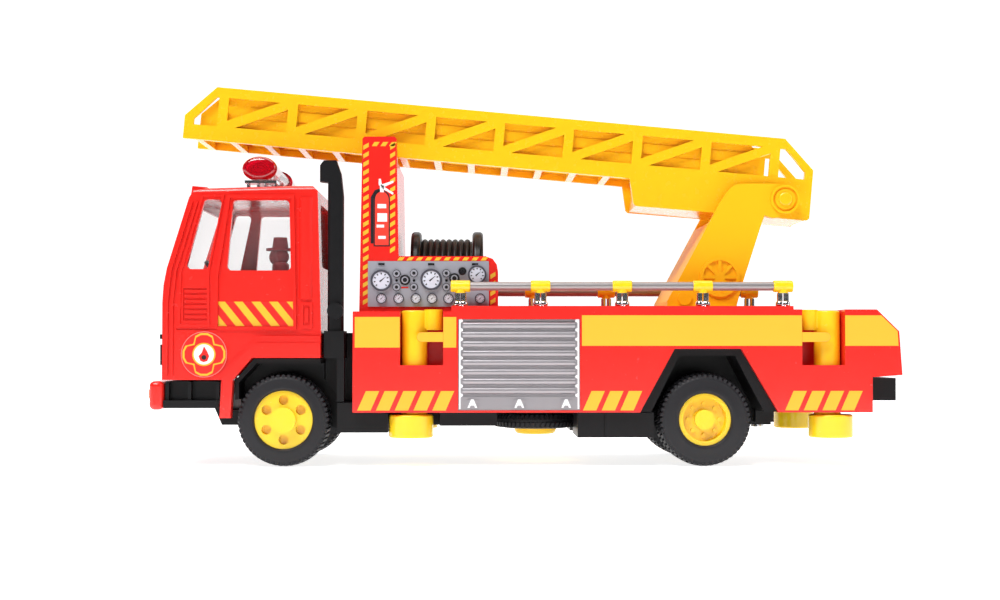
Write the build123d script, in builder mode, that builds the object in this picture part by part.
from build123d import *
import os
from math import atan2, cos, degrees, radians, sin, tan

os.makedirs("parts", exist_ok=True)

# ---- Driving dimensions, millimetres. Front of the truck is -X, its left side -Y, the tyres stand on Z = 0. ----
CAB_HALF = 25.0          # half width of the cab
BODY_HALF = 27.0         # half width of the rear body
BODY_X0, BODY_X1 = -39.8, 87.6
BODY_Z0, DECK_Z, RIM_Z = 12.4, 35.9, 37.2
WALL = 1.6
RIDE = 0.4               # every height below is measured from a datum this far above the ground
TYRE_R = 11.0
AXLE_Z = TYRE_R - RIDE
FRONT_X, REAR_X = -56.1, 42.5
AXLE_R = 1.5
TYRE_FACE = 25.0         # outer face of the tyres
FRONT_TYRE_W, REAR_TYRE_W = 7.6, 5.8
RUN = 0.08               # running clearance on a radius
LEG_X = (-25.65, 71.7)   # stabiliser legs, front and rear
LEG_Y = 22.1
LEG_R, FOOT_R = 3.05, 5.2
FOOT_SHIFT = 0.75        # the feet stand further out than the shafts
NOTCH = ((-28.8, -18.8), (64.9, 74.9))
TURN_X = 43.0            # turntable axis
PIVOT_X, PIVOT_Z = 63.5, 63.3
TILT = 5.1               # ladder's rest angle, degrees
LADDER_HALF = 11.0
LADDER_TOP, LADDER_BOTTOM = 15.1, 2.0
LADDER_TIP = 146.6
POST_PITCH, POST_0 = 16.85, 2.7
RUNG_PITCH = 8.3
REEL_Z, REEL_R = 46.6, 9.7
RAIL_Y, RAIL_Z = 23.4, 41.9
POST_X = (-14.8, 4.0, 23.2, 42.2, 61.1)
SHUTTER_X0, SHUTTER_X1 = -15.3, 13.05
SHUTTER_Z0, SHUTTER_Z1 = 12.9, 34.1


def side_plane(y):
    """A sketch plane at height y whose local axes are +X and +Z; extruding it by a goes towards -Y."""
    return Plane(origin=(0, y, RIDE), x_dir=(1, 0, 0), z_dir=(0, -1, 0))


def poly(*points, mode=Mode.ADD):
    """A closed face from corner points, in the open sketch."""
    Polygon(*points, align=None, mode=mode)


def slab(points, y0, y1, mode=Mode.ADD, taper=0):
    """A prism with a side-view outline between two Y positions, in the open part."""
    with BuildSketch(side_plane(max(y0, y1))) as outline:
        poly(*points)
    extrude(outline.sketch, amount=abs(y1 - y0), mode=mode, taper=taper)


def block(x0, x1, y0, y1, z0, z1, mode=Mode.ADD):
    """A box given by its limits, in the open part."""
    with Locations(((x0 + x1) / 2, (y0 + y1) / 2, (z0 + z1) / 2 + RIDE)):
        Box(x1 - x0, y1 - y0, z1 - z0, mode=mode)


def rod_y(x, z, r, y0, y1, mode=Mode.ADD):
    """A cylinder along Y."""
    with Locations(Location((x, (y0 + y1) / 2, z + RIDE), (90, 0, 0))):
        Cylinder(r, abs(y1 - y0), mode=mode)


def rod_x(y, z, r, x0, x1, mode=Mode.ADD):
    """A cylinder along X."""
    with Locations(Location(((x0 + x1) / 2, y, z + RIDE), (0, 90, 0))):
        Cylinder(r, abs(x1 - x0), mode=mode)


def rod_z(x, y, r, z0, z1, mode=Mode.ADD):
    """A cylinder along Z."""
    with Locations((x, y, (z0 + z1) / 2 + RIDE)):
        Cylinder(r, abs(z1 - z0), mode=mode)


# ---- Cab shell: hollow red moulding with window openings, wheel arches and raised trim ----
CAB = [(-84.3, 19.95), (-84.3, 38.0), (-84.05, 42.0), (-83.3, 46.0), (-78.2, 62.6), (-77.2, 64.2),
       (-74.4, 64.8), (-54.4, 65.4), (-49.4, 65.4), (-48.2, 64.2), (-47.3, 30.2), (-47.3, 19.95)]
CAB_INNER = [(-82.7, 15.0), (-82.7, 38.0), (-81.7, 45.5), (-75.9, 62.1), (-74.0, 63.1), (-54.4, 63.7), (-49.7, 63.7),
             (-49.0, 30.2), (-49.0, 15.0)]
QUARTER_WINDOW = [(-74.5, 62.1), (-70.3, 62.1), (-73.7, 45.8), (-78.9, 45.8)]
MAIN_WINDOW = [(-67.9, 61.9), (-54.8, 61.9), (-54.4, 45.5), (-69.3, 45.5)]
DOOR_LINE_OUT = [(-69.2, 63.2), (-53.6, 63.2), (-53.0, 31.8), (-72.0, 31.8), (-72.0, 43.8)]
DOOR_LINE_IN = [(-68.5, 62.5), (-54.3, 62.5), (-53.7, 32.4), (-71.3, 32.4), (-71.3, 43.9)]
QUARTER_FRAME = [(-75.2, 63.2), (-69.9, 63.2), (-73.4, 45.0), (-73.2, 32.4), (-80.6, 32.4), (-80.4, 45.0)]
QUARTER_INNER = [(-74.8, 62.8), (-70.5, 62.8), (-74.0, 45.1), (-73.8, 32.9), (-80.1, 32.9), (-79.8, 45.1)]
ARCH_OUT = [(-47.3, 30.2), (-61.8, 30.2), (-70.2, 21.8), (-70.7, 11.1), (-68.1, 11.1), (-67.6, 19.95),
            (-63.2, 25.1), (-47.3, 25.1)]
ARCH_LIP = [(-47.3, 28.6), (-62.4, 28.6), (-69.5, 21.5), (-70.1, 11.6), (-68.1, 11.6), (-67.6, 19.95),
            (-63.2, 25.1), (-47.3, 25.1)]
ARCH_CUT = [(-40.0, 25.1), (-63.2, 25.1), (-67.6, 19.95), (-68.1, 5.0), (-40.0, 5.0)]
RIBS_X = (-83.4, -82.2)

with BuildPart() as cab_shell:
    slab(CAB, -CAB_HALF, CAB_HALF)
    fillet(cab_shell.edges().filter_by(Axis.X).group_by(Axis.Z)[-1], 1.2)
    for side in (-1, 1):
        face = side * CAB_HALF
        # Wheel-arch flare with a raised lip, its leg standing in front of the tyre
        slab(ARCH_OUT, face - side * 1.6, face + side * 1.2)
        slab(ARCH_LIP, face - side * 1.0, face + side * 1.75)
        slab(QUARTER_FRAME, face - side * 0.5, face + side * 0.4)
        slab(QUARTER_INNER, face, face + side * 0.6, mode=Mode.SUBTRACT)
        # Raised door frame, front ribs, panel groove, vent, rib panel and door handle
        slab(DOOR_LINE_OUT, face - side * 0.5, face + side * 0.7)
        slab(DOOR_LINE_IN, face, face + side * 0.9, mode=Mode.SUBTRACT)
        for x in RIBS_X:
            slab([(x, 21.0), (x + 0.5, 21.0), (x + 0.5, 38.0), (x + 1.3, 45.6), (x + 6.2, 61.6), (x + 5.7, 61.6),
                  (x + 0.8, 45.6), (x, 38.0)], face - side * 0.5, face + side * 0.5)
        block(-79.4, -73.8, min(face, face - side * 0.5), max(face, face - side * 0.5), 33.8, 41.4,
              mode=Mode.SUBTRACT)
        for row in range(6):
            z = 34.4 + row * 1.2
            block(-79.2, -74.0, min(face - side * 0.7, face - side * 0.1), max(face - side * 0.7, face - side * 0.1),
                  z, z + 0.6)
        block(-81.0, -71.6, min(face + side, face - side * 0.35), max(face + side, face - side * 0.35),
              31.55, 32.05, mode=Mode.SUBTRACT)
        # Half-round pillar behind the door
        rod_z(-50.9, face - side * 1.2, 2.0, 38.9, 62.6)
        block(-52.05, -49.3, min(face - side * 0.5, face + side * 0.4), max(face - side * 0.5, face + side * 0.4),
              32.0, 38.1)
        block(-51.4, -49.9, min(face, face + side * 0.6), max(face, face + side * 0.6), 32.7, 37.4, mode=Mode.SUBTRACT)
        block(-51.1, -50.2, min(face - side * 0.5, face + side * 0.5), max(face - side * 0.5, face + side * 0.5),
              33.4, 36.7)
    slab(CAB_INNER, -CAB_HALF + WALL, CAB_HALF - WALL, mode=Mode.SUBTRACT)
    slab(ARCH_CUT, -CAB_HALF - 3, CAB_HALF + 3, mode=Mode.SUBTRACT)
    # Side windows with rounded corners, through both sides
    with BuildSketch(side_plane(CAB_HALF + 2)) as windows:
        poly(*QUARTER_WINDOW)
        poly(*MAIN_WINDOW)
        fillet(windows.vertices(), 1.0)
    extrude(amount=2 * CAB_HALF + 4, mode=Mode.SUBTRACT)
    # Windscreen, seen square to the raked front, and the rear window
    rake = degrees(atan2(77.2 - 84.3, 63.3 - 44.0))
    with BuildSketch(Plane(origin=(-80.9, 0, 54.0 + RIDE), x_dir=(0, -1, 0), z_dir=(-cos(radians(rake)), 0, -sin(radians(rake))))):
        RectangleRounded(42.0, 15.0, 2.0)
    extrude(amount=4, both=True, mode=Mode.SUBTRACT)
    with BuildSketch(Plane(origin=(-44, 0, 54.0 + RIDE), x_dir=(0, 1, 0), z_dir=(-1, 0, 0))):
        RectangleRounded(38.0, 15.0, 2.0)
    extrude(amount=8, mode=Mode.SUBTRACT)
    # Seat for the round emblem
    for side in (-1, 1):
        rod_y(-74.5, 25.9, 5.5, side * (CAB_HALF - 0.5), side * (CAB_HALF + 0.25))
    # Visor lip across the windscreen head
    slab([(-78.2, 63.4), (-77.9, 65.5), (-74.4, 65.2), (-74.4, 63.8)], -22.5, 22.5)
cab_shell.part.label = "cab_shell"
export_step(cab_shell.part, "parts/cab_shell.step")

# ---- Cab glazing: one clear band that lines the window openings ----
GLASS_OUT = [(-81.8, 44.3), (-75.9, 61.4), (-49.85, 62.6), (-49.4, 44.3)]
GLASS_IN = [(-80.8, 44.3), (-75.2, 60.4), (-51.0, 61.6), (-50.5, 44.3)]
with BuildPart() as cab_glazing:
    slab(GLASS_OUT, -23.3, 23.3)
    slab([(x, z - 0.01 if z > 50 else z - 3) for x, z in GLASS_IN], -22.4, 22.4, mode=Mode.SUBTRACT)
cab_glazing.part.label = "cab_glazing"
export_step(cab_glazing.part, "parts/cab_glazing.step")

# ---- Cab interior: floor pan with dashboard, engine tunnel and seats, one black moulding ----
with BuildPart() as cab_interior:
    block(-82.0, -49.6, -22.0, 22.0, 30.6, 32.2)
    slab([(-81.9, 32.0), (-81.9, 42.6), (-79.2, 43.6), (-76.6, 41.4), (-76.0, 32.0)], -22.0, 22.0)
    for y in (-12.5, 12.5):
        slab([(-66.5, 32.0), (-66.0, 37.6), (-56.6, 36.8), (-54.6, 44.6), (-52.2, 44.6), (-51.6, 32.0)],
             y - 6.5, y + 6.5)
    block(-76.2, -53.0, -3.2, 3.2, 32.0, 36.2)
cab_interior.part.label = "cab_interior"
export_step(cab_interior.part, "parts/cab_interior.step")

# ---- Steering wheel on a raked column, in front of the driver on the left ----
with BuildPart() as steering_wheel:
    wheel_plane = Plane(origin=(-73.2, -12.5, 45.0 + RIDE), x_dir=(0, 1, 0), z_dir=(0.72, 0, 0.69))
    with BuildSketch(wheel_plane):
        Circle(4.6)
        Circle(3.9, mode=Mode.SUBTRACT)
        Rectangle(8.4, 0.9)
        Circle(1.1)
    extrude(amount=0.4, both=True)
    with BuildSketch(wheel_plane):
        Circle(0.6)
    extrude(amount=-4.4)
steering_wheel.part.label = "steering_wheel"
export_step(steering_wheel.part, "parts/steering_wheel.step")

# ---- Driver: a plain seated figure with a brimmed helmet ----
DRIVER_X = -58.3
with BuildPart() as driver_figure:
    with BuildSketch(Plane.XY.offset(38.4 + RIDE)):
        with Locations((DRIVER_X, -12.5)):
            Ellipse(2.3, 3.6)
    extrude(amount=9.6, taper=2)
    fillet(driver_figure.edges().group_by(Axis.Z)[-1], 0.8)
    with Locations((DRIVER_X - 0.1, -12.5, 49.4 + RIDE)):
        Sphere(2.1)
    with BuildSketch(Plane.XY.offset(50.8 + RIDE)):
        with Locations((DRIVER_X - 0.3, -12.5)):
            Ellipse(3.2, 2.8)
    extrude(amount=0.6)
    with BuildSketch(Plane.XY.offset(51.2 + RIDE)):
        with Locations((DRIVER_X - 0.1, -12.5)):
            Circle(2.0)
    extrude(amount=2.8, taper=8)
    for y in (-14.1, -10.9):
        with Locations((DRIVER_X - 3.6, y, 38.9 + RIDE)):
            Box(8.0, 1.8, 1.4)
driver_figure.part.label = "driver_figure"
export_step(driver_figure.part, "parts/driver_figure.step")

# ---- Front bumper, lamps, grille and headlamps ----
with BuildPart() as front_bumper:
    block(-87.2, -83.9, -26.0, 26.0, 13.0, 19.7)
    fillet(front_bumper.edges().filter_by(Axis.Z), 1.4)
    fillet(front_bumper.faces().sort_by(Axis.X)[0].edges().filter_by(Axis.Y), 1.2)
    for y in (-18.5, 18.5):
        block(-87.3, -86.4, y - 2.4, y + 2.4, 15.4, 17.8, mode=Mode.SUBTRACT)
    for y in (-9.0, 9.0):
        block(-87.3, -86.6, y - 5.5, y + 5.5, 14.6, 18.2, mode=Mode.SUBTRACT)
front_bumper.part.label = "front_bumper"
export_step(front_bumper.part, "parts/front_bumper.step")

for name, sign in (("bumper_lamp_left", -1), ("bumper_lamp_right", 1)):
    with BuildPart() as lamp:
        block(-88.3, -86.42, sign * 18.5 - 2.3, sign * 18.5 + 2.3, 15.5, 17.7)
        fillet(lamp.faces().sort_by(Axis.X)[0].edges(), 0.5)
    lamp.part.label = name
    export_step(lamp.part, f"parts/{name}.step")

with BuildPart() as front_grille:
    block(-84.62, -84.32, -22.5, 22.5, 22.6, 31.4)
    block(-85.3, -84.5, -22.5, 22.5, 29.5, 30.6)
    for y in (-16.6, 16.6):
        block(-85.3, -84.5, y - 5.4, y + 5.4, 23.4, 28.2)
        block(-86.0, -84.62, y - 4.6, y + 4.6, 24.2, 27.4, mode=Mode.SUBTRACT)
    for row in range(3):
        z = 23.6 + row * 1.9
        block(-85.1, -84.5, -10.0, 10.0, z, z + 0.9)
front_grille.part.label = "front_grille"
export_step(front_grille.part, "parts/front_grille.step")

with BuildPart() as headlamps:
    for y in (-18.7, -14.5, 14.5, 18.7):
        rod_x(y, 25.8, 1.55, -85.25, -84.64)
headlamps.part.label = "headlamps"
export_step(headlamps.part, "parts/headlamps.step")

# ---- Light bar across the roof ----
with BuildPart() as light_bar_base:
    # Two bridges, each on four small legs, and the rail that carries the lenses
    for y in (-16.0, 16.0):
        for x in (-65.6, -63.2, -61.6, -59.2):
            rod_z(x, y, 0.45, 64.82 + 0.03 * (x + 74.4), 67.0)
        block(-66.2, -58.6, y - 2.6, y + 2.6, 66.6, 67.25)
    block(-63.6, -61.4, -18.4, 18.4, 66.65, 67.25)
light_bar_base.part.label = "light_bar_base"
export_step(light_bar_base.part, "parts/light_bar_base.step")

BAR_Z = 69.9 + RIDE
bar_plane = Plane(origin=(-62.5, 12.0, BAR_Z), x_dir=(1, 0, 0), z_dir=(0, -1, 0))
with BuildPart() as light_bar_tube:
    with BuildSketch(bar_plane):
        Ellipse(3.6, 2.15)
    extrude(amount=24.0)
light_bar_tube.part.label = "light_bar_tube"
export_step(light_bar_tube.part, "parts/light_bar_tube.step")

for name, sign in (("light_bar_lens_left", -1), ("light_bar_lens_right", 1)):
    with BuildPart() as lens:
        with BuildSketch(Plane(origin=(-62.5, sign * 12.05, BAR_Z), x_dir=(1, 0, 0), z_dir=(0, sign, 0))):
            Ellipse(4.15, 2.95)
        extrude(amount=8.6)
        fillet(lens.faces().sort_by(Axis.Y)[0 if sign < 0 else -1].edges(), 1.3)
        block(-68, -57, -24, 24, 66.0, 67.3, mode=Mode.SUBTRACT)
    lens.part.label = name
    export_step(lens.part, f"parts/{name}.step")

# ---- Intake stack behind the cab on the left ----
with BuildPart() as intake_stack:
    slab([(-46.0, 25.0), (-46.0, 66.3), (-47.9, 66.5), (-47.9, 70.3), (-46.9, 71.5), (-44.0, 71.5),
          (-42.9, 68.4), (-42.3, 63.0), (-42.3, 25.0)], -23.6, -20.4)
    fillet(intake_stack.edges().filter_by(Axis.Z), 0.8)
    block(-46.7, -42.0, -24.6, -16.0, 25.0, 31.4)
    block(-43.65, -42.0, -24.4, -22.0, 14.9, 25.2)
    rod_y(-43.9, 36.0, 1.3, -26.4, -23.0)
    rod_y(-43.9, 36.0, 1.9, -26.9, -25.9)
intake_stack.part.label = "intake_stack"
export_step(intake_stack.part, "parts/intake_stack.step")

# ---- Rear body shell: hollow red superstructure with deck, arches, shutter openings and stabiliser wells ----
BODY = [(BODY_X0, BODY_Z0), (BODY_X0, DECK_Z), (-16.9, DECK_Z), (-16.9, RIM_Z), (62.9, RIM_Z), (62.9, 36.4),
        (82.4, 36.4), (BODY_X1, 31.3), (BODY_X1 + 0.7, 21.1), (81.3, 20.6), (81.3, BODY_Z0)]
BODY_INNER = [(BODY_X0 + WALL, 5.0), (BODY_X0 + WALL, DECK_Z - WALL), (81.4, DECK_Z - WALL),
              (BODY_X1 - WALL, 30.6), (BODY_X1 - WALL, 22.2), (79.7, 22.2), (79.7, 5.0)]
REAR_ARCH = [(59.1, 5.0), (59.1, 12.75), (50.7, 27.2), (35.1, 27.2), (27.0, 12.4), (27.0, 5.0)]
WELL_INNER = 17.6
with BuildPart() as body_shell:
    slab(BODY, -BODY_HALF, BODY_HALF)
    # Sunk deck inside the raised rim, the turntable's bore and the slot for the rear bumper bracket
    block(78.6, 82.6, -15.1, 15.1, 9.0, 20.45, mode=Mode.SUBTRACT)
    rod_z(TURN_X, 0, 4.0 + RUN, 30.0, 40.0, mode=Mode.SUBTRACT)
    block(-17.0, -16.0, -19.3, 19.3, DECK_Z, RIM_Z + 1, mode=Mode.SUBTRACT)
    block(-16.3, 63.0, -BODY_HALF + 1.6, BODY_HALF - 1.6, DECK_Z, RIM_Z + 1, mode=Mode.SUBTRACT)
    slab(BODY_INNER, -BODY_HALF + WALL, BODY_HALF - WALL, mode=Mode.SUBTRACT)
    slab(REAR_ARCH, -BODY_HALF - 1, BODY_HALF + 1, mode=Mode.SUBTRACT)
    block(SHUTTER_X0, SHUTTER_X1, -BODY_HALF - 1, BODY_HALF + 1, SHUTTER_Z0, SHUTTER_Z1, mode=Mode.SUBTRACT)
    # Well for each stabiliser leg, open at the side and at the top
    for (x0, x1), leg_x in zip(NOTCH, LEG_X):
        for side in (-1, 1):
            lo, hi = sorted((side * (WELL_INNER - 1.2), side * (BODY_HALF - 0.5)))
            block(x0 - 1.2, x1 + 1.2, lo, hi, 22.2, DECK_Z)
            lo, hi = sorted((side * WELL_INNER, side * (BODY_HALF + 1)))
            block(x0, x1, lo, hi, 23.4, RIM_Z + 1, mode=Mode.SUBTRACT)
            rod_z(leg_x, side * LEG_Y, LEG_R + RUN, 20.0, 24.0, mode=Mode.SUBTRACT)
    # Yellow bar that guards each well, with a round tip
    for side in (-1, 1):
        for root, tip in ((-18.6, -23.8), (64.7, 70.4)):
            lo, hi = sorted((side * (BODY_HALF - 1.3), side * BODY_HALF))
            block(min(root, tip), max(root, tip), lo, hi, 28.8, 31.1)
            rod_y(tip, 29.95, 1.15, lo, hi)
    # Lettering-free raised panel lines on the lower body, and the tail recess for the lamps
    for y in (-20.5, 20.5):
        block(BODY_X1 - 0.6, BODY_X1 + 1, y - 3.4, y + 3.4, 23.6, 29.6, mode=Mode.SUBTRACT)
    # Roller door panel lines at the tail
    for row in range(5):
        z = 23.4 + row * 1.5
        block(BODY_X1 - 0.3, BODY_X1 + 1, -14.0, 14.0, z, z + 0.5, mode=Mode.SUBTRACT)
body_shell.part.label = "body_shell"
export_step(body_shell.part, "parts/body_shell.step")

# ---- Tail lamps ----
with BuildPart() as tail_lamps:
    for y in (-20.5, 20.5):
        block(BODY_X1 - 0.58, BODY_X1 + 0.6, y - 3.3, y + 3.3, 23.7, 29.5)
tail_lamps.part.label = "tail_lamps"
export_step(tail_lamps.part, "parts/tail_lamps.step")

# ---- Roller shutters: ribbed silver panels, one on each side ----
for name, sign in (("shutter_left", -1), ("shutter_right", 1)):
    with BuildPart() as shutter:
        lo, hi = sorted((sign * 25.6, sign * 26.7))
        block(SHUTTER_X0 + 0.05, SHUTTER_X1 - 0.05, lo, hi, SHUTTER_Z0 + 0.05, SHUTTER_Z1 - 0.05)
        # Round slats
        lo, hi = sorted((sign * 26.3, sign * 27.0))
        block(SHUTTER_X0 + 1.2, SHUTTER_X1 - 1.2, lo, hi, SHUTTER_Z0 + 3.2, SHUTTER_Z1 - 0.2, mode=Mode.SUBTRACT)
        for row in range(8):
            rod_x(sign * 26.1, 17.5 + row * 2.17, 0.88, SHUTTER_X0 + 1.1, SHUTTER_X1 - 1.1)
        for x in (-12.0, -1.1, 9.8):
            lo, hi = sorted((sign * 26.4, sign * 27.2))
            block(x - 1.2, x + 1.2, lo, hi, 13.6, 15.4)
    shutter.part.label = name
    export_step(shutter.part, f"parts/{name}.step")

# ---- Chassis: black underframe ----
FRONT_LINER = [(-67.3, 15.4), (-67.3, 19.8), (-62.9, 24.9), (-47.4, 24.9), (-47.4, 23.8), (-62.4, 23.8),
               (-66.4, 19.4), (-66.4, 15.4)]
REAR_LINER = [(59.6, 12.5), (51.1, 27.9), (34.7, 27.9), (26.5, 12.5), (29.8, 12.5), (36.4, 25.6), (49.4, 25.6),
              (56.2, 12.5)]
with BuildPart() as chassis:
    # Backbone between the wheels
    block(-71.0, 60.4, -11.0, 11.0, 8.8, 12.3)
    slab([(-83.88, 15.4), (-83.88, 19.6), (-70.9, 19.6), (-70.9, 8.8), (-72.5, 8.8), (-74.5, 13.4), (-83.88, 13.4)],
         -11.0, 11.0)
    # Step beside the front bumper: a sunk panel with a bar below it
    block(-83.88, -71.1, -22.4, 22.4, 14.4, 19.6)
    block(-83.88, -71.1, -25.4, 25.4, 13.4, 15.2)
    for x in (-83.6, -78.4, -71.9):
        block(x, x + 0.8, -24.2, 24.2, 14.8, 19.5)
    # Cab floor over the front axle and mudguard between cab and body
    slab([(-67.3, 8.8), (-67.3, 19.8), (-62.9, 24.9), (-47.4, 24.9), (-47.4, 20.0), (-44.0, 15.0), (-40.0, 12.3),
          (-31.0, 7.6), (-43.0, 7.6), (-46.0, 8.8)], -15.6, 15.6)
    slab([(-43.6, 7.6), (-43.6, 14.6), (-40.0, 14.6), (-40.0, 12.2), (-31.0, 12.2), (-31.0, 7.6)], -24.0, 24.0)
    # Bulkhead that closes the gap between the cab and the body
    block(-47.15, -39.95, -15.4, 15.4, 12.0, 31.0)
    # Arch liners
    for lo, hi in ((-24.8, -15.6), (15.6, 24.8)):
        slab(FRONT_LINER, lo, hi)
    for lo, hi in ((-25.2, -10.4), (10.4, 25.2)):
        slab(REAR_LINER, lo, hi)
    slab([(57.7, 8.8), (57.7, 12.5), (50.3, 26.9), (35.5, 26.9), (28.4, 12.5), (28.4, 8.8)], -10.6, 10.6)
    # Side sills under the body and the rear bumper
    block(-20.0, -6.2, -24.0, 24.0, 9.2, 12.3)
    block(12.6, 30.4, -25.0, 25.0, 6.5, 12.3)
    block(18.7, 19.0, -26.0, -24.7, 6.0, 12.2, mode=Mode.SUBTRACT)
    block(56.0, 60.4, -15.0, 15.0, 9.6, 12.3)
    block(56.0, 81.0, -14.5, 14.5, 12.2, 14.6)
    block(78.0, 81.6, -14.5, 14.5, 14.0, 20.4)
    block(81.4, 88.0, -22.0, 22.0, 15.0, 20.3)
    # Axle bores
    rod_y(FRONT_X, AXLE_Z, AXLE_R + RUN, -30, 30, mode=Mode.SUBTRACT)
    rod_y(REAR_X, AXLE_Z, AXLE_R + RUN, -30, 30, mode=Mode.SUBTRACT)
    # Sockets the stabiliser legs pass through and the recess for the spare wheel
    for leg_x in LEG_X:
        for side in (-1, 1):
            rod_z(leg_x, side * LEG_Y, FOOT_R + FOOT_SHIFT + 0.4, 0, 13.0, mode=Mode.SUBTRACT)
    block(-8.0, 12.6, -12.0, 12.0, 7.0, 11.6, mode=Mode.SUBTRACT)
    rod_z(3.6, 0, 10.8, 6.0, 11.6, mode=Mode.SUBTRACT)
    # Counterbore for the middle screw
    rod_z(22.0, 0, 1.6, 6.0, 7.6, mode=Mode.SUBTRACT)
chassis.part.label = "chassis"
export_step(chassis.part, "parts/chassis.step")

# ---- Spare wheel lying flat under the chassis ----
with BuildPart() as spare_tyre:
    with BuildSketch(Plane.XY.offset(7.6 + RIDE)):
        with Locations((3.6, 0)):
            Circle(10.4)
            Circle(6.9, mode=Mode.SUBTRACT)
    extrude(amount=3.9)
    fillet(spare_tyre.edges().filter_by(GeomType.CIRCLE), 0.7)
spare_tyre.part.label = "spare_tyre"
export_step(spare_tyre.part, "parts/spare_tyre.step")

with BuildPart() as spare_hub:
    rod_z(3.6, 0, 6.86, 7.6, 11.55)
    rod_z(3.6, 0, 5.2, 6.1, 7.7)
    fillet(spare_hub.edges().group_by(Axis.Z)[0], 1.2)
spare_hub.part.label = "spare_hub"
export_step(spare_hub.part, "parts/spare_hub.step")

# ---- Wheels ----
HUB_R = {"front": 6.8, "rear": 6.1}
TYRES = {"front": ((TYRE_FACE - FRONT_TYRE_W, TYRE_FACE),),
         "rear": ((TYRE_FACE - REAR_TYRE_W, TYRE_FACE), (TYRE_FACE - 2 * REAR_TYRE_W - 0.6, TYRE_FACE - REAR_TYRE_W - 0.6))}


def tyre_ring(x, y0, y1, bore):
    """A tyre with rounded shoulders and a chunky block tread, about the axis along Y."""
    width = y1 - y0
    with BuildSketch(Plane(origin=(x, y0, TYRE_R), x_dir=(1, 0, 0), z_dir=(0, 0, 1))) as section:
        poly((bore, 0.5), (bore, width - 0.5), (bore + 0.8, width), (TYRE_R - 1.3, width),
             (TYRE_R, width - 0.9), (TYRE_R, 0.9), (TYRE_R - 1.3, 0), (bore + 0.8, 0))
    revolve(section.sketch, axis=Axis((x, 0, TYRE_R), (0, 1, 0)))


for axle, x in (("front", FRONT_X), ("rear", REAR_X)):
    bore = HUB_R[axle] + 0.02
    inner = TYRES[axle][-1][0]
    with BuildPart() as axle_rod:
        rod_y(x, AXLE_Z, AXLE_R, -TYRE_FACE + 1.6, TYRE_FACE - 1.6)
    axle_rod.part.label = f"{axle}_axle"
    export_step(axle_rod.part, f"parts/{axle}_axle.step")
    for label, sign in (("left", -1), ("right", 1)):
        with BuildPart() as hub:
            lo, hi = sorted((sign * inner, sign * (TYRE_FACE - 1.0)))
            rod_y(x, AXLE_Z, HUB_R[axle], lo, hi)
            lo, hi = sorted((sign * (inner + 0.8), sign * (inner - 1)))
            rod_y(x, AXLE_Z, HUB_R[axle] - 1.4, lo, hi, mode=Mode.SUBTRACT)
            lo, hi = sorted((sign * (inner - 0.1), sign * (inner + 1)))
            rod_y(x, AXLE_Z, 2.8, lo, hi)
            if axle == "front":
                # Convex cap with a ring of round windows
                lo, hi = sorted((sign * (TYRE_FACE - 1.2), sign * (TYRE_FACE + 1.0)))
                rod_y(x, AXLE_Z, 3.0, lo, hi)
                lo, hi = sorted((sign * (TYRE_FACE - 2.6), sign * (TYRE_FACE + 1)))
                for k in range(6):
                    a = radians(60 * k + 30)
                    rod_y(x + 4.6 * cos(a), AXLE_Z + 4.6 * sin(a), 1.15, lo, hi, mode=Mode.SUBTRACT)
            else:
                # Dished face with a centre boss and a ring of nuts
                lo, hi = sorted((sign * (TYRE_FACE - 3.2), sign * TYRE_FACE))
                rod_y(x, AXLE_Z, 5.1, lo, hi, mode=Mode.SUBTRACT)
                lo, hi = sorted((sign * (TYRE_FACE - 3.4), sign * (TYRE_FACE - 1.0)))
                rod_y(x, AXLE_Z, 2.3, lo, hi)
                lo, hi = sorted((sign * (TYRE_FACE - 3.4), sign * (TYRE_FACE - 2.6)))
                for k in range(8):
                    a = radians(45 * k)
                    rod_y(x + 3.7 * cos(a), AXLE_Z + 3.7 * sin(a), 0.5, lo, hi)
            lo, hi = sorted((0, sign * (TYRE_FACE - 1.6)))
            rod_y(x, AXLE_Z, AXLE_R, lo, hi, mode=Mode.SUBTRACT)
        hub.part.label = f"{axle}_hub_{label}"
        export_step(hub.part, f"parts/{axle}_hub_{label}.step")
        for (y0, y1), place in zip(TYRES[axle], ("", "_inner")):
            lo, hi = sorted((sign * y0, sign * y1))
            with BuildPart() as tyre:
                tyre_ring(x, lo, hi, bore)
            tyre.part.label = f"{axle}_tyre_{label}{place}"
            export_step(tyre.part, f"parts/{axle}_tyre_{label}{place}.step")

# ---- Stabiliser legs: foot, shaft and finger lug; each slides down in its well ----
for end, leg_x, lug_x, out in (("front", LEG_X[0], -21.2, -1), ("rear", LEG_X[1], 67.3, 1)):
    for label, sign in (("left", -1), ("right", 1)):
        with BuildPart() as leg:
            rod_z(leg_x, sign * LEG_Y, LEG_R, 11.0, 36.2)
            rod_z(leg_x + out * FOOT_SHIFT, sign * LEG_Y, FOOT_R, 6.4, 11.8)
            fillet(leg.edges().filter_by(GeomType.CIRCLE), 0.5)
            # Round finger lug beside the shaft's head
            rod_z(lug_x, sign * (LEG_Y + 0.2), 2.2, 31.6, 36.4)
            lo, hi = sorted((lug_x, leg_x))
            block(lo, hi, sign * LEG_Y - 1.8, sign * LEG_Y + 1.8, 32.0, 36.1)
        leg.part.label = f"{end}_leg_{label}"
        export_step(leg.part, f"parts/{end}_leg_{label}.step")

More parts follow.
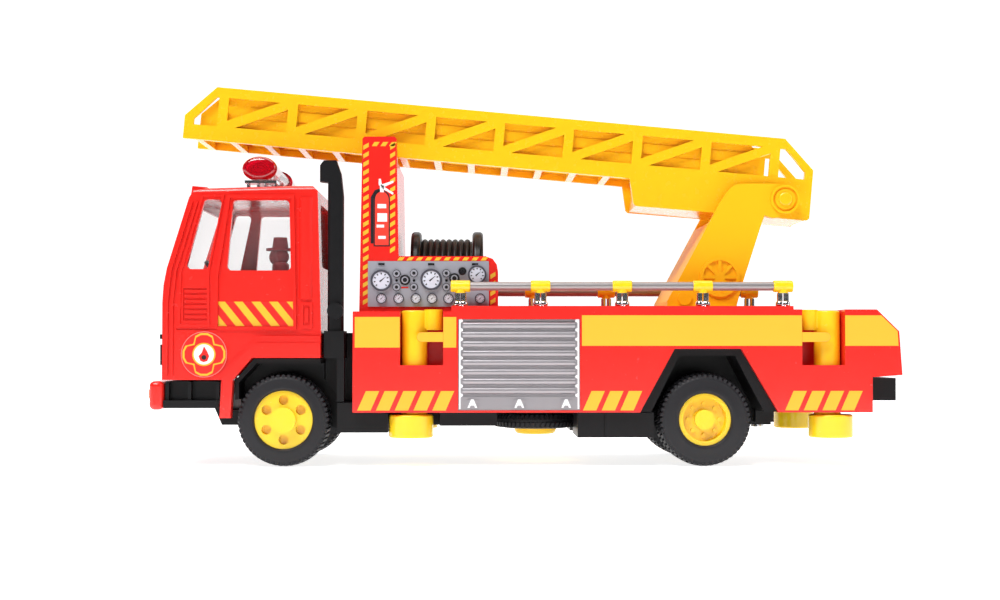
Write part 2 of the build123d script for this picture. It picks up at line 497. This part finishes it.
# ---- Handrails ----
for label, sign in (("left", -1), ("right", 1)):
    y = sign * RAIL_Y
    with BuildPart() as rail:
        rod_x(y, RAIL_Z, 1.02, -16.5, 63.2)
        fillet(rail.edges().filter_by(GeomType.CIRCLE), 0.5)
    rail.part.label = f"handrail_tube_{label}"
    export_step(rail.part, f"parts/handrail_tube_{label}.step")
    with BuildPart() as connectors:
        for x in POST_X:
            rod_x(y, RAIL_Z, 1.38, x - 2.3, x + 2.3)
        fillet(connectors.edges().filter_by(GeomType.CIRCLE), 0.3)
        for x in POST_X:
            rod_z(x, y, 1.2, RAIL_Z - 1.6, RAIL_Z - 0.6)
        rod_x(y, RAIL_Z, 1.02, -16.6, 63.3, mode=Mode.SUBTRACT)
    connectors.part.label = f"handrail_connectors_{label}"
    export_step(connectors.part, f"parts/handrail_connectors_{label}.step")
    with BuildPart() as posts:
        for x in POST_X:
            rod_z(x, y, 1.3, DECK_Z, 37.0)
            for dx in (-0.75, 0.75):
                rod_z(x + dx, y, 0.66, 36.8, RAIL_Z - 1.6)
                with Locations((x + dx, y, 37.7 + RIDE)):
                    Sphere(1.0)
    posts.part.label = f"handrail_posts_{label}"
    export_step(posts.part, f"parts/handrail_posts_{label}.step")

# ---- Pump tower: hollow column, reel trough and ladder cradle ----
TOWER_HALF = 19.0
COLUMN = [(-38.9, DECK_Z), (-38.3, 72.0), (-30.0, 72.0), (-29.3, DECK_Z)]
EAR = [(-38.35, 69.0), (-38.2, 77.2), (-37.7, 77.7), (-30.6, 77.7), (-30.1, 77.2), (-29.95, 69.0)]
TROUGH = [(-30.0, DECK_Z), (-30.0, 49.2), (-8.9, 49.2), (-7.2, 48.6), (-6.2, 47.2), (-5.9, 45.4), (-5.9, DECK_Z)]
with BuildPart() as pump_tower:
    slab(COLUMN, -TOWER_HALF, TOWER_HALF)
    slab(EAR, -TOWER_HALF, -TOWER_HALF + 4.6)
    slab(TROUGH, -TOWER_HALF, TOWER_HALF)
    block(-36.9, -31.3, -TOWER_HALF + 1.6, TOWER_HALF - 1.6, DECK_Z - 1, 70.4, mode=Mode.SUBTRACT)
    block(-29.4, -7.5, -TOWER_HALF + 2.0, TOWER_HALF - 2.0, DECK_Z - 1, 60, mode=Mode.SUBTRACT)
    rod_x(0, REEL_Z, 1.5 + RUN, -31.0, -5.0, mode=Mode.SUBTRACT)
pump_tower.part.label = "pump_tower"
export_step(pump_tower.part, "parts/pump_tower.step")

# ---- Gauge panel on the left wall of the trough: plate, dials, knobs and tabs ----
PANEL_FACE = -TOWER_HALF
with BuildPart() as gauge_panel:
    block(-36.8, -8.1, PANEL_FACE - 0.35, PANEL_FACE, 37.2, 48.0)
    for x, z in ((-33.6, 43.4), (-21.8, 43.6), (-10.9, 44.8)):
        rod_y(x, z, 2.3, PANEL_FACE - 0.9, PANEL_FACE - 0.3)
    for x in (-33.6, -29.5, -25.4, -21.6, -17.7, -10.2):
        rod_y(x, 39.1, 1.2, PANEL_FACE - 0.7, PANEL_FACE - 0.3)
    for x, z in ((-30.0, 45.0), (-30.0, 41.8), (-28.0, 43.5), (-25.9, 45.1), (-25.9, 41.8), (-18.2, 45.1),
                 (-18.2, 41.8), (-16.3, 43.9)):
        rod_y(x, z, 0.8, PANEL_FACE - 1.1, PANEL_FACE - 0.3)
gauge_panel.part.label = "gauge_panel"
export_step(gauge_panel.part, "parts/gauge_panel.step")

# ---- Hose reel ----
with BuildPart() as reel_drum:
    rod_x(0, REEL_Z, 1.5, -30.6, -6.2)
    rod_x(0, REEL_Z, 4.0, -27.0, -9.6)
    for x0, x1 in ((-27.2, -24.7), (-12.1, -9.4)):
        rod_x(0, REEL_Z, REEL_R, x0, x1)
    fillet(reel_drum.edges().filter_by(GeomType.CIRCLE).filter_by(lambda e: e.radius > 9), 0.9)
reel_drum.part.label = "reel_drum"
export_step(reel_drum.part, "parts/reel_drum.step")

HOSE_R, HOSE_PITCH = 0.75, 1.5
with BuildPart() as reel_hose:
    rod_x(0, REEL_Z, 7.3, -24.65, -12.15)
    with BuildSketch(Plane.XZ):
        with Locations(*[(-23.85 + HOSE_PITCH * k, REEL_Z + RIDE + 7.15) for k in range(8)]):
            Circle(HOSE_R - 0.01)
    revolve(axis=Axis((0, 0, REEL_Z + RIDE), (1, 0, 0)))
    rod_x(0, REEL_Z, 4.0, -25.0, -12.0, mode=Mode.SUBTRACT)
reel_hose.part.label = "reel_hose"
export_step(reel_hose.part, "parts/reel_hose.step")

# ---- Turntable and arm ----
with BuildPart() as turntable_base:
    rod_z(TURN_X, 0, 16.5, 36.1, 37.5)
    fillet(turntable_base.edges().group_by(Axis.Z)[-1], 0.5)
    rod_z(TURN_X, 0, 4.0, 32.6, 36.4)
    rod_z(TURN_X, 0, 4.6, 32.6, 33.6)
turntable_base.part.label = "turntable_base"
export_step(turntable_base.part, "parts/turntable_base.step")

ARM_IN, ARM_OUT = 12.0, 14.0
with BuildPart() as turret_arm:
    for sign in (-1, 1):
        with BuildSketch(side_plane(ARM_OUT if sign > 0 else -ARM_IN)) as plate:
            with BuildLine():
                front = Polyline((34.9, 37.5), (34.9, 38.6), (46.4, 59.9))
                crown = Spline((46.4, 59.9), (49.3, 64.8), (53.2, 67.1), tangents=[(0.475, 0.88), (1, 0)])
                top = Line((53.2, 67.1), (63.6, 67.1))
                head = RadiusArc((63.6, 67.1), (58.6, 59.4), 4.05 + 0.55)
                rear = Polyline((58.6, 59.4), (57.9, 57.6), (53.4, 43.7), (51.7, 37.5), (34.9, 37.5))
            make_face()
        extrude(amount=ARM_OUT - ARM_IN)
        lo, hi = sorted((sign * (ARM_OUT - 0.1), sign * (ARM_OUT + 0.7)))
        rod_y(PIVOT_X, PIVOT_Z, 3.5, lo, hi)
        rod_y(47.6, 44.5, 4.8, lo, hi)
        lo, hi = sorted((sign * (ARM_OUT + 0.1), sign * (ARM_OUT + 1)))
        rod_y(47.6, 44.5, 4.0, lo, hi, mode=Mode.SUBTRACT)
        rod_y(PIVOT_X, PIVOT_Z, 2.95, lo, hi, mode=Mode.SUBTRACT)
        lo, hi = sorted((sign * (ARM_OUT - 0.1), sign * (ARM_OUT + 0.6)))
        rod_y(47.6, 44.5, 1.3, lo, hi)
        rod_y(PIVOT_X, PIVOT_Z, 2.45, lo, hi)
        for k in range(4):
            with Locations(Location((47.6, (lo + hi) / 2, 44.5 + RIDE), (0, 45 * k, 0))):
                Box(8.2, hi - lo, 0.8)
        rod_y(39.1, 39.4, 1.7, lo, hi)
    # Front web and floor that join the two plates
    slab([(34.9, 37.5), (34.9, 38.6), (45.2, 57.7), (47.3, 57.7), (37.4, 39.0), (51.5, 39.0), (51.5, 37.5)],
         -ARM_IN, ARM_IN)
    rod_y(PIVOT_X, PIVOT_Z, 1.7, -ARM_OUT - 1, ARM_OUT + 1, mode=Mode.SUBTRACT)
turret_arm.part.label = "turret_arm"
export_step(turret_arm.part, "parts/turret_arm.step")

with BuildPart() as pivot_pin:
    rod_y(PIVOT_X, PIVOT_Z, 1.7, -ARM_OUT - 1.2, ARM_OUT + 1.2)
    fillet(pivot_pin.edges().filter_by(GeomType.CIRCLE), 0.5)
pivot_pin.part.label = "pivot_pin"
export_step(pivot_pin.part, "parts/pivot_pin.step")

# ---- Ladders: local axes run from the pivot to the tip (u) and up (v) ----
tilt = radians(TILT)


def ladder_plane(y):
    """Sketch plane of a ladder side at height y: x to the tip, y up the ladder's depth, extruding towards +Y."""
    return Plane(origin=(PIVOT_X, y, PIVOT_Z + RIDE), x_dir=(-cos(tilt), 0, sin(tilt)), z_dir=(0, 1, 0))


def rail_box(u0, u1, v0, v1, y0, y1, mode=Mode.ADD):
    """A box in the ladder's own axes."""
    with BuildSketch(ladder_plane(y0)) as s:
        with Locations(((u0 + u1) / 2, (v0 + v1) / 2)):
            Rectangle(u1 - u0, v1 - v0)
    extrude(s.sketch, amount=y1 - y0, mode=mode)


SIDE_T = 1.4
TOP_CHORD, BOTTOM_CHORD, POST_W = 2.4, 3.6, 2.3
OUTLINE = [(-6.4, -4.3), (-6.9, -3.8), (-6.9, 8.0), (0.6, LADDER_TOP), (139.4, LADDER_TOP), (LADDER_TIP, 7.6), (LADDER_TIP, 2.0),
           (37.6, 2.0), (36.2, -4.0), (35.6, -4.6)]
with BuildPart() as outer_ladder:
    for y in (-LADDER_HALF, LADDER_HALF - SIDE_T):
        with BuildSketch(ladder_plane(y)) as truss:
            poly(*OUTLINE)
            # One open bay between each two posts, cut into two triangles by its brace
            for i in range(8):
                u0 = POST_0 + i * POST_PITCH + POST_W / 2
                u1 = POST_0 + (i + 1) * POST_PITCH - POST_W / 2
                v0, v1 = LADDER_BOTTOM + BOTTOM_CHORD, LADDER_TOP - TOP_CHORD
                poly((u0, v0), (u1 - 2.1, v0), (u0, v1 - 1.5), mode=Mode.SUBTRACT)
                poly((u1, v1), (u0 + 2.1, v1), (u1, v0 + 1.5), mode=Mode.SUBTRACT)
            # End bay beside the raked rear edge
            poly((POST_0 - 1.15, 5.6), (-4.9, 5.6), (-4.9, 7.4), (0.2, 12.6), (POST_0 - 1.15, 12.6),
                 mode=Mode.SUBTRACT)
            tip0 = POST_0 + 8 * POST_PITCH + POST_W / 2
            poly((tip0, 5.6), (tip0, 12.7), (tip0 + 0.6, 12.7), (LADDER_TIP - 2.2, 7.0),
                 (LADDER_TIP - 2.2, 5.6), mode=Mode.SUBTRACT)
        extrude(amount=SIDE_T)
    # Flat rungs flush with the underside, the tip bar and the mounting floor at the foot
    for k in range(14):
        u = 34.0 + RUNG_PITCH * k
        rail_box(u, u + 1.7, LADDER_BOTTOM, LADDER_BOTTOM + 1.4, -LADDER_HALF + 0.5, LADDER_HALF - 0.5)
    rail_box(-5.8, 34.6, -4.4, -2.9, -LADDER_HALF + 0.5, LADDER_HALF - 0.5)
    rail_box(33.8, 35.4, -4.4, 3.2, -LADDER_HALF + 0.5, LADDER_HALF - 0.5)
    for sign in (-1, 1):
        lo, hi = sorted((sign * (LADDER_HALF - 0.1), sign * 11.8))
        rod_y(PIVOT_X, PIVOT_Z, 3.2, lo, hi)
    rod_y(PIVOT_X, PIVOT_Z, 3.2, -LADDER_HALF + 0.5, LADDER_HALF - 0.5)
    rod_y(PIVOT_X, PIVOT_Z, 1.7 + RUN, -13, 13, mode=Mode.SUBTRACT)
outer_ladder.part.label = "outer_ladder"
export_step(outer_ladder.part, "parts/outer_ladder.step")

IN_HALF, IN_T = 9.3, 1.6
IN_V0, IN_V1 = 3.7, 13.4
IN_U0, IN_U1 = 6.0, 143.0
with BuildPart() as inner_ladder:
    for y in (-IN_HALF, IN_HALF - IN_T):
        with BuildSketch(ladder_plane(y)):
            poly((IN_U0, IN_V0), (IN_U1, IN_V0), (IN_U1, 8.4), (IN_U1 - 5.0, IN_V1), (IN_U0 + 3.0, IN_V1),
                 (IN_U0, IN_V1 - 3.0))
            with Locations((IN_U1 - 6.4, 10.2)):
                SlotOverall(4.4, 2.0, mode=Mode.SUBTRACT)
        extrude(amount=IN_T)
    # Two long grooves along each rail's outer face
    for y0, y1 in ((-IN_HALF - 1, -IN_HALF + 0.3), (IN_HALF - 0.3, IN_HALF + 1)):
        for v in (8.2, 11.0):
            rail_box(IN_U0 + 3.0, IN_U1 - 12.0, v, v + 0.4, y0, y1, mode=Mode.SUBTRACT)
    for k in range(16):
        u = IN_U0 + 2.0 + RUNG_PITCH * k
        rail_box(u, u + 1.6, IN_V0, IN_V0 + 1.4, -IN_HALF + 0.5, IN_HALF - 0.5)
inner_ladder.part.label = "inner_ladder"
export_step(inner_ladder.part, "parts/inner_ladder.step")

# ---- Screws under the chassis ----
with BuildPart() as chassis_screws:
    for x, y, z in ((-34.0, -8.0, 7.6), (-34.0, 8.0, 7.6), (57.6, -8.0, 8.8), (57.6, 8.0, 8.8), (-64.0, 0.0, 8.8),
                    (22.0, 0.0, 7.55)):
        rod_z(x, y, 1.5, z - 0.6, z)
        block(x - 1.0, x + 1.0, y - 0.2, y + 0.2, z - 0.7, z - 0.35, mode=Mode.SUBTRACT)
        block(x - 0.2, x + 0.2, y - 1.0, y + 1.0, z - 0.7, z - 0.35, mode=Mode.SUBTRACT)
chassis_screws.part.label = "chassis_screws"
export_step(chassis_screws.part, "parts/chassis_screws.step")
